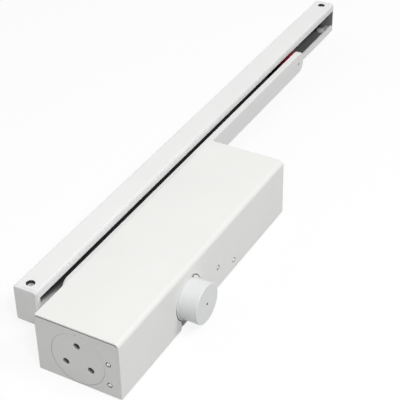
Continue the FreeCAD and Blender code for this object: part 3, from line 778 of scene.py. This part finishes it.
def add_thread(work, start, length, outer, pitch):
    """A threaded rod along +Y from a start point, with a tapered last turn; sizes in millimetres."""
    depth = THREAD_DEPTH * pitch
    count = round(length / pitch * THREAD_STEPS)
    rows = []
    for k in range(count + 1):
        way = length * k / count
        taper = min(1.0, (length - way) / pitch + RUN_OUT)
        swing = thread_radius(outer, depth * taper, way, pitch)
        lead = outer - depth + depth * taper
        centre = start + Vector((0, way, 0))
        rows.append(ring_of(work, centre, lambda a: min(swing(a), lead), THREAD_SIDES))
    join_rings(work, rows)


print("thread of %d sides, %d rings a turn" % (THREAD_SIDES, THREAD_STEPS))

# %% [markdown]
# The forms are built in millimetres and scaled to metres at the end. A Boolean modifier works on objects, so
# the cutter puts both meshes into the scene for a moment, reads the result, and takes them out again.

# %% From work to mesh
def to_mesh(work, name):
    """Turns a bmesh in millimetres into a mesh in metres with its faces pointing out."""
    bmesh.ops.scale(work, vec=Vector((MM, MM, MM)), verts=work.verts)
    bmesh.ops.recalc_face_normals(work, faces=work.faces)
    mesh = bpy.data.meshes.new(name)
    work.to_mesh(mesh)
    work.free()
    return mesh


def cut_away(mesh, tool_mesh):
    """Cuts one closed mesh out of another and gives the mesh that is left."""
    stock = bpy.data.objects.new("stock", mesh)
    tool = bpy.data.objects.new("cutting_tool", tool_mesh)
    for each in (stock, tool):
        bpy.context.scene.collection.objects.link(each)
    cut = stock.modifiers.new("cut", "BOOLEAN")
    cut.object = tool
    cut.solver = "EXACT"
    cut.use_self = True
    result = stock.evaluated_get(bpy.context.evaluated_depsgraph_get())
    left = bpy.data.meshes.new_from_object(result)
    for each in (stock, tool):
        bpy.data.objects.remove(each)
    return left


print("mesh helpers ready")

# %% [markdown]
# The plain screws of the solid say where the real ones sit. They share one node, so their points are sorted
# into islands: from a first point, every edge leads on until the island has no more.

# %% Find the separate solids of a node
def solids_of(node):
    """Middle and size of each separate solid in a node, in millimetres."""
    work = bmesh.new()
    work.from_mesh(nodes[node].data)
    bmesh.ops.remove_doubles(work, verts=work.verts, dist=MERGE * MM)
    seen = set()
    found = []
    for first in work.verts:
        if first in seen:
            continue
        island = [first]
        seen.add(first)
        for point in island:
            for edge in point.link_edges:
                other = edge.other_vert(point)
                if other not in seen:
                    seen.add(other)
                    island.append(other)
        low = Vector([min(p.co[k] for p in island) for k in range(3)])
        high = Vector([max(p.co[k] for p in island) for k in range(3)])
        found.append(((low + high) / 2 / MM, (high - low) / MM))
    work.free()
    return found


flange_screw_solids = solids_of("cap_flange_screws")
print("flange screws:", len(flange_screw_solids))

# %% [markdown]
# The cross recess is cut by two tapered blades at a right angle. They start a little above the head, because
# a Boolean is safest when no faces lie in one plane.

# %% Screws with thread and cross recess
HEAD_SIDES = 40
HEAD_HEIGHT = 1.0
HEAD_BREAK = 0.25
SCREW_RADIUS = 1.4
SCREW_PITCH = 0.5
OVERLAP = 0.05
CROSS_WIDTH = 0.5
CROSS_REACH = 1.25
CROSS_DEPTH = 0.7
CROSS_TAPER = 0.45
CROSS_ABOVE = 0.2


def add_cross(work, face):
    """Two crossing tapered blades that cut a screw's recess into its face."""
    for angle in (0, math.pi / 2):
        rows = []
        for depth, share in ((-CROSS_ABOVE, 1.0), (CROSS_DEPTH, CROSS_TAPER)):
            row = []
            for u, v in ((-1, -1), (1, -1), (1, 1), (-1, 1)):
                long = u * CROSS_REACH * share
                wide = v * CROSS_WIDTH / 2
                x = long * math.cos(angle) - wide * math.sin(angle)
                z = long * math.sin(angle) + wide * math.cos(angle)
                row.append(work.verts.new(face + Vector((x, depth, z))))
            rows.append(row)
        join_rings(work, rows)


flange_screws = bmesh.new()
cross_tools = bmesh.new()
for centre, size in flange_screw_solids:
    face = Vector((centre.x, centre.y - size.y / 2, centre.z))
    head = size.x / 2
    profile = [(head - HEAD_BREAK, 0), (head, HEAD_BREAK), (head, HEAD_HEIGHT)]
    add_turned(flange_screws, face, profile, HEAD_SIDES)
    neck = face + Vector((0, HEAD_HEIGHT - OVERLAP, 0))
    add_thread(flange_screws, neck, size.y - HEAD_HEIGHT, SCREW_RADIUS, SCREW_PITCH)
    add_cross(cross_tools, face)
screw_mesh = cut_away(to_mesh(flange_screws, "flange_screws_mesh"), to_mesh(cross_tools, "cross_tools"))
smooth(put(screw_mesh, "cross_recess_screws", "cap_flange_screws"))
print("screws with", len(screw_mesh.polygons), "faces")

# %% [markdown]
# ## Arm and its fastenings
# The arm is a flat bar with rounded long edges. Its screw holds it on the spindle's square, and at its far
# end a pin carries the slider. All of these are cut from bar, so a light break on the edges is right. The
# pilot mark of the pin, on the arm's front, is painted dark inside as painted shade.

# %% Arm, screw, pin, washer and gland
PILOT_REACH = 1.0
arm_piece = soften("arm", "flat_arm", edge=0.25)
# The pin's pilot mark is painted shade.
refinish(arm_piece, hole_shade, lambda at, n: off_axis(at, pivot_axis) < PILOT_REACH)
soften("arm_screw", "socket_screw", edge=0.25)
soften("pivot_pin", "slider_pin", edge=0.2)
soften("slider_washer", "slider_pin_washer", edge=0.12, steps=2)
soften("arm_side_gland", "screwed_gland", edge=0.2)

# %% [markdown]
# ## Slider
# The slider is moulded from a slippery dark red plastic that is dyed through. Towards the body it is painted
# darker, nearly black, as painted shade, since light reaches it only past the arm's end. A fade along its
# length draws that, with little shine.

# %% Slider
slider_low, slider_high = corners("slider")
# The slider is painted darker towards the body, as painted shade.
finishes["red_plastic"] = painted_fade("red_plastic_painted_shade", along((1, 0, 0)), [
    (slider_low.x, (0.02, 0.001, 0.002)), (slider_low.x + 4, (0.04, 0.002, 0.003)),
    (slider_low.x + 9, (0.15, 0.003, 0.011)), (slider_high.x, (0.15, 0.004, 0.008))], shine=0.15)
soften("slider", "red_slider", edge=0.3)

# %% [markdown]
# ## The rail
# The rail is an aluminium extrusion. Powder hardly reaches into a channel, because the charge draws it to the
# outer edges, so the inside stays bare and dark. At the near end the inside is painted white as painted
# light, where the key lamp shines in under the upper lip, fading towards the back and along the rail as the
# painted shadow of the arm's end. A fade along a slanting direction draws that. Every face whose middle lies
# in the hollow, behind the slot's lips, takes this finish. The lips' fronts are painted a purer white as
# painted light, against the shade of body and arm, and a little darker as painted shade where the arm's end
# runs along them.

# %% Rail with a bare inside
RAIL_WALL = 2.0
LIP_FLAT = 0.97
SLANT = 5.0
SLANT_FROM = 61.0
# Place along X, and how grey the channel is there, painted light near the near end; at the depth SLANT_FROM.
CHANNEL_LIGHT_GREY = (
    (-92, 0.08), (-80, 0.95), (-69, 0.95), (-62, 0.77), (-57, 0.44), (-52, 0.26), (-42, 0.11), (-33, 0.06),
    (275, 0.06), (290, 0.115))
LIP_LIGHT_GREY = ((-86, 0.96), (-50, 0.985), (130, 0.985), (250, 0.93), (300, 0.85))
rail_low, rail_high = corners("rail")
back = SLANT * SLANT_FROM
channel_stops = [(back + x, grey) for x, grey in CHANNEL_LIGHT_GREY]
# The white near the channel's near end is painted light, fading as the painted shadow of the arm's end.
channel_painted_light = painted_fade("dark_channel_painted_light", along((1, SLANT, 0)), channel_stops)
# The lips' purer white is painted light, a little darker as painted shade towards the arm's end.
lip_painted_light = painted_fade("lip_painted_light_coat", along((1, 0, 0)), LIP_LIGHT_GREY)
rail_piece = soften("rail", "extruded_rail", edge=0.15)
refinish(rail_piece, lip_painted_light, lambda at, n: n.y < -LIP_FLAT and at.y < rail_low.y + RAIL_WALL)
refinish(rail_piece, channel_painted_light, lambda at, n: (
    rail_low.y + RAIL_WALL - SLACK < at.y < rail_high.y - RAIL_WALL + SLACK
    and rail_low.z + RAIL_WALL - SLACK < at.z < rail_high.z - RAIL_WALL + SLACK))

# %% [markdown]
# ## Caps and sleeves of the rail
# The caps close the rail's ends. Both are moulded in white, and the far one is painted grey as painted shade
# on the side that looks into the rail, except at its foot, which is painted light where the lamp reaches
# under the lip. Sleeves of drawn aluminium stand in the rail round its screws, so that these do not crush it.
# Outside they are painted light below and dark above, and their bore lighter towards the top, as painted
# light and shade. The edges of the holes above them are painted dark as painted shade.

# %% Rail caps and screw sleeves
HOLE_REACH = 4.0
# Height, and the colour there, as painted light and shade.
CAP_SHADE = ((11.0, 0.75), (12.5, (0.245, 0.245, 0.26)))
SLEEVE_LIGHT_AND_SHADE = ((11.5, 0.7), (14.0, 0.06))
soften("rail_cap_near", "near_end_cap", edge=0.25)
far_cap_piece = soften("rail_cap_far", "far_end_cap", edge=0.2)
# The far cap's inner face is painted shade, with its foot painted light.
far_cap_painted_shade = painted_fade("far_cap_painted_shade", along((0, 0, 1)), CAP_SHADE)
refinish(far_cap_piece, far_cap_painted_shade, lambda at, n: n.x < -WALL)
# The sleeves are painted light below and painted shade above.
finishes["bright_aluminium"] = painted_fade("sleeve_painted_light_and_shade", along((0, 0, 1)), SLEEVE_LIGHT_AND_SHADE)
sleeve_piece = soften("rail_sleeves", "screw_sleeves", edge=0.25)
# The sleeve bores are painted lighter towards the top, as painted light.
sleeve_bore_painted_light = painted_fade("sleeve_bore_painted_light", along((0, 0, 1)), [(rail_low.z, 0.5), (rail_high.z, 0.9)])
sleeve_axes = [centre for centre, size in solids_of("rail_sleeves")]


def near_sleeve(at):
    """The level way from the nearest sleeve's axis to a place."""
    ways = [Vector((at.x - c.x, at.y - c.y, 0)) for c in sleeve_axes]
    return min(ways, key=lambda way: way.length)


def faces_sleeve(at, n):
    """Whether a face is an upright wall that looks at the nearest sleeve's axis."""
    return abs(n.z) < WALL and n.dot(near_sleeve(at)) < -LEAN


refinish(sleeve_piece, sleeve_bore_painted_light, faces_sleeve)
# The edges of the holes above the sleeves are painted shade.
refinish(rail_piece, hole_shade, lambda at, n: (
    faces_sleeve(at, n) and near_sleeve(at).length < HOLE_REACH
    and at.z > rail_high.z - RAIL_WALL - SLACK))

# %% [markdown]
# ## Regulating valves
# Four small screws set how fast the door closes and latches, and how it is slowed on opening. Their slotted
# heads sit just below the surface, so their edges are what the eye finds. They are plated with nickel, which
# is brighter than the zinc of the other fastenings.

# %% Valves
nickel = worked_metal("nickel_plated_steel", (0.90, 0.90, 0.89), 0.30, 0.2, (1, 1, 0.2), 0.002)
for valve in VALVES:
    valve_piece = soften(valve, valve + "_screw", edge=0.15, steps=2)
    valve_piece.data.materials[0] = nickel

# %% [markdown]
# ## The drive inside
# Inside, a pinion on the spindle drives a rack on the piston, and the piston squeezes the return spring. The
# spring is drawn anew as round wire: a helix whose pitch closes up at both ends, with the end coils ground
# flat. First comes the path of the wire's middle.

# %% Path of the spring's wire
SPRING_TURNS = 9.0
CLOSED_TURNS = 1.0
CLOSED_PITCH = 0.75
GROUND_SHARE = 0.45
WIRE_RADIUS = 2.2

spring_low, spring_high = corners("return_spring")
spring_axis = (spring_low + spring_high) / 2
coil_radius = (spring_high.z - spring_low.z) / 2 - WIRE_RADIUS


def wire_place(turn):
    """Place of the wire's middle along X after a number of turns: closed, open, closed."""
    inset = WIRE_RADIUS * (1 - GROUND_SHARE)
    start = spring_low.x + inset
    length = spring_high.x - spring_low.x - 2 * inset
    closed_rise = 2 * WIRE_RADIUS * CLOSED_TURNS * CLOSED_PITCH
    if turn < CLOSED_TURNS:
        return start + closed_rise * turn / CLOSED_TURNS
    if turn > SPRING_TURNS - CLOSED_TURNS:
        return start + length - closed_rise * (SPRING_TURNS - turn) / CLOSED_TURNS
    share = (turn - CLOSED_TURNS) / (SPRING_TURNS - 2 * CLOSED_TURNS)
    return start + closed_rise + share * (length - 2 * closed_rise)


def coil_point(turn):
    """The wire's middle after a number of turns."""
    angle = 2 * math.pi * turn
    return Vector((wire_place(turn), spring_axis.y + coil_radius * math.cos(angle),
                   spring_axis.z + coil_radius * math.sin(angle)))


print("coils of %.1f mm radius" % coil_radius)

# %% [markdown]
# Rings of points across that path make the wire. Points that would stand out past the ends are set back to
# them, which grinds the end coils flat.

# %% Return spring of round wire
WIRE_SIDES = 14
STEPS_PER_TURN = 40
GLANCE = 0.01

spring_work = bmesh.new()
wire_rows = []
for k in range(round(SPRING_TURNS * STEPS_PER_TURN) + 1):
    turn = k / STEPS_PER_TURN
    here = coil_point(turn)
    ahead = (coil_point(turn + GLANCE) - coil_point(turn - GLANCE)).normalized()
    outward = Vector((0, math.cos(2 * math.pi * turn), math.sin(2 * math.pi * turn)))
    side = ahead.cross(outward).normalized()
    row = []
    for i in range(WIRE_SIDES):
        angle = 2 * math.pi * i / WIRE_SIDES
        point = here + (outward * math.cos(angle) + side * math.sin(angle)) * WIRE_RADIUS
        point.x = min(max(point.x, spring_low.x), spring_high.x)
        row.append(spring_work.verts.new(point))
    wire_rows.append(row)
join_rings(spring_work, wire_rows)
spring_piece = smooth(put(to_mesh(spring_work, "spring_mesh"), "round_wire_spring", "return_spring"))
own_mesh(spring_piece)

# %% [markdown]
# ## Bare nodes get their finish
# The pieces that are still shown as their solids keep their shape: seals, bearings, the spindle with its
# pinion, the piston with its rack, and the check valve. Each only takes the finish of its slot.

# %% Finish the remaining nodes
dressed = {n for piece in bpy.data.objects for n in piece.get("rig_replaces", [])}
for node, piece in nodes.items():
    if node in dressed:
        continue
    piece.data.materials.clear()
    piece.data.materials.append(finishes[slot_of[node]])
print("nodes in their own shape:", ", ".join(sorted(set(nodes) - dressed)))

# %% [markdown]
# ## Rays that see and rays that light
# The object lies in a white studio. A white background could be made by more light, but that would wash out
# the pale paint. Instead, the sky and the floor show one face to the rays from the camera and to those that
# reflections send out, and another to the rays that only carry light. One helper tells these rays apart, and
# the other mixes two shaders.

# %% Helpers for sky and floor
def seen_rays(tree):
    """1 for rays from the camera and for glossy or transmitted ones, 0 for those that carry light."""
    path = tree.nodes.new("ShaderNodeLightPath")
    value = path.outputs["Is Camera Ray"]
    for name in ("Is Glossy Ray", "Is Transmission Ray"):
        higher = tree.nodes.new("ShaderNodeMath")
        higher.operation = "MAXIMUM"
        tree.links.new(value, higher.inputs[0])
        tree.links.new(path.outputs[name], higher.inputs[1])
        value = higher.outputs["Value"]
    return value


def mixed(tree, share, first, second):
    """The first shader where the share is 0, the second where it is 1."""
    mix = tree.nodes.new("ShaderNodeMixShader")
    for source, socket in zip((share, first, second), mix.inputs):
        tree.links.new(source, socket)
    return mix.outputs["Shader"]


print("ray helpers ready")

# %% [markdown]
# ## Sky
# Seen directly the sky is plain white. Its light is soft and even, and stronger from low behind than from
# above, as walls are that lamps shine on: this lifts the cap's side, which looks away from the lamps.

# %% Sky
SKY_LEVEL = 0.90
SKY_SWING = 0.64
SKY_FROM = Vector((0.0, 0.65, -0.76)).normalized()

world = bpy.data.worlds.new("soft_studio")
bpy.context.scene.world = world
world.use_nodes = True
sky = world.node_tree
sky.nodes.clear()
direction = sky.nodes.new("ShaderNodeTexCoord").outputs["Generated"]
level = sky.nodes.new("ShaderNodeMath")
level.operation = "MULTIPLY_ADD"
level.inputs[1].default_value = SKY_SWING
level.inputs[2].default_value = SKY_LEVEL
sky.links.new(along(SKY_FROM)(sky, direction), level.inputs[0])
soft_light = sky.nodes.new("ShaderNodeBackground")
sky.links.new(level.outputs["Value"], soft_light.inputs["Strength"])
white_wall = sky.nodes.new("ShaderNodeBackground")
white_wall.inputs["Color"].default_value = (1, 1, 1, 1)
studio = mixed(sky, seen_rays(sky), soft_light.outputs["Background"], white_wall.outputs["Background"])
sky.links.new(studio, sky.nodes.new("ShaderNodeOutputWorld").inputs["Surface"])
print("sky level %.2f, stronger towards %s" % (SKY_LEVEL, [round(c, 2) for c in SKY_FROM]))

# %% [markdown]
# ## Floor
# The floor is a large sheet of pale paper, a flat grid a hair below the object, so that the two never share a
# plane. The lowest corner of the solids' box says how low it has to lie.

# %% Floor
FLOOR_HALF = 4.0
FLOOR_CELLS = 8
FLOOR_DROP = 0.3

floor_work = bmesh.new()
bmesh.ops.create_grid(floor_work, x_segments=FLOOR_CELLS, y_segments=FLOOR_CELLS, size=FLOOR_HALF)
floor_mesh = bpy.data.meshes.new("floor_mesh")
floor_work.to_mesh(floor_mesh)
floor_work.free()
floor = bpy.data.objects.new("pale_floor", floor_mesh)
bpy.context.scene.collection.objects.link(floor)
floor.location.z = cad_box[0].z - FLOOR_DROP * MM
print("floor at z %.2f mm" % (floor.location.z / MM))

# %% [markdown]
# For light the paper is a dull grey, so that little comes back up. The camera sees mostly white, mixed with a
# diffuse coat that keeps the soft shadow under the object. Away from the object the coat fades out, and floor
# and background become one white.

# %% Paper of the floor
FLOOR_WHITE = 0.86
COAT_FADES = (0.45, 1.3)
FLOOR_BOUNCE = (0.35, 0.35, 0.35, 1)
FLOOR_COAT = (0.95, 0.95, 0.95, 1)

floor_finish = bpy.data.materials.new("pale_floor_paper")
floor_finish.use_nodes = True
paper = floor_finish.node_tree
paper.nodes.clear()
bounce = paper.nodes.new("ShaderNodeBsdfDiffuse")
bounce.inputs["Color"].default_value = FLOOR_BOUNCE
coat = paper.nodes.new("ShaderNodeBsdfDiffuse")
coat.inputs["Color"].default_value = FLOOR_COAT
glow = paper.nodes.new("ShaderNodeEmission")
glow.inputs["Color"].default_value = (1, 1, 1, 1)
reach = paper.nodes.new("ShaderNodeVectorMath")
reach.operation = "LENGTH"
paper.links.new(paper.nodes.new("ShaderNodeTexCoord").outputs["Object"], reach.inputs[0])
fading = paper.nodes.new("ShaderNodeMapRange")
fading.inputs["From Min"].default_value = COAT_FADES[0]
fading.inputs["From Max"].default_value = COAT_FADES[1]
fading.inputs["To Min"].default_value = FLOOR_WHITE
paper.links.new(reach.outputs["Value"], fading.inputs["Value"])
seen = mixed(paper, fading.outputs["Result"], coat.outputs["BSDF"], glow.outputs["Emission"])
sheet = mixed(paper, seen_rays(paper), bounce.outputs["BSDF"], seen)
paper.links.new(sheet, paper.nodes.new("ShaderNodeOutputMaterial").inputs["Surface"])
floor_mesh.materials.append(floor_finish)
print("paper %.0f %% white near the object" % (100 * FLOOR_WHITE))

# %% [markdown]
# ## Lamps
# Two lamps stand high in front. The key is to the left: it lights the top most, then the long side and the
# near end, and it looks into the rail under the upper lip. The broad second one lifts the long side. Both are
# round soft boxes, so their shadows have no hard edge. A lamp's power grows with the square of its distance
# for the same light, so the lights below are given as a white face that looks at the lamp would show them.

# %% Soft boxes
LAMP_FAR = 1.8
LAMP_AIM = Vector((0.1, 0.0, 0.0))
# Name, direction of the lamp, its size in metres and its light.
LAMPS = (
    ("key_softbox", Vector((-0.42, -0.465, 0.777)), 0.30, 0.33),
    ("front_softbox", Vector((0.05, -0.6, 0.8)), 0.60, 0.37),
)
for name, towards, size, light in LAMPS:
    lamp_data = bpy.data.lights.new(name, "AREA")
    lamp_data.shape = "DISK"
    lamp_data.size = size
    lamp_data.energy = light * (math.pi * LAMP_FAR) ** 2
    lamp = bpy.data.objects.new(name, lamp_data)
    bpy.context.scene.collection.objects.link(lamp)
    lamp.location = LAMP_AIM + towards.normalized() * LAMP_FAR
    lamp.rotation_euler = (LAMP_AIM - lamp.location).to_track_quat("-Z", "Y").to_euler()
    print("%s: %.1f W, %.1f m across" % (name, lamp_data.energy, size))

# %% [markdown]
# ## Camera
# The camera stands beyond the near end, above and in front of the body, and looks along the rail with a long
# lens. Its place and its three axes were fitted to the proportions of the object, so that straight edges run
# where they should. The axes are written as rows: to the right, down and forward.

# %% Camera
CAMERA_AT = Vector((-552.039, -343.147, 532.822)) * MM
CAMERA_RIGHT = Vector((0.48836, -0.872469, -0.017416))
CAMERA_DOWN = Vector((-0.512786, -0.270766, -0.814701))
CAMERA_FORWARD = Vector((0.706085, 0.406798, -0.57962))
LENS = 108.0
SENSOR = 36.0
CLIP_NEAR = 0.01

camera_data = bpy.data.cameras.new("camera")
camera_data.lens = LENS
camera_data.sensor_width = SENSOR
camera_data.clip_start = CLIP_NEAR
camera = bpy.data.objects.new("camera", camera_data)
bpy.context.scene.collection.objects.link(camera)
aim = Matrix((CAMERA_RIGHT, -CAMERA_DOWN, -CAMERA_FORWARD)).transposed()
camera.matrix_world = Matrix.Translation(CAMERA_AT) @ aim.to_4x4()
bpy.context.scene.camera = camera
bpy.context.scene.view_settings.view_transform = "Standard"
print("camera %.0f mm from the body" % (CAMERA_AT.length / MM))
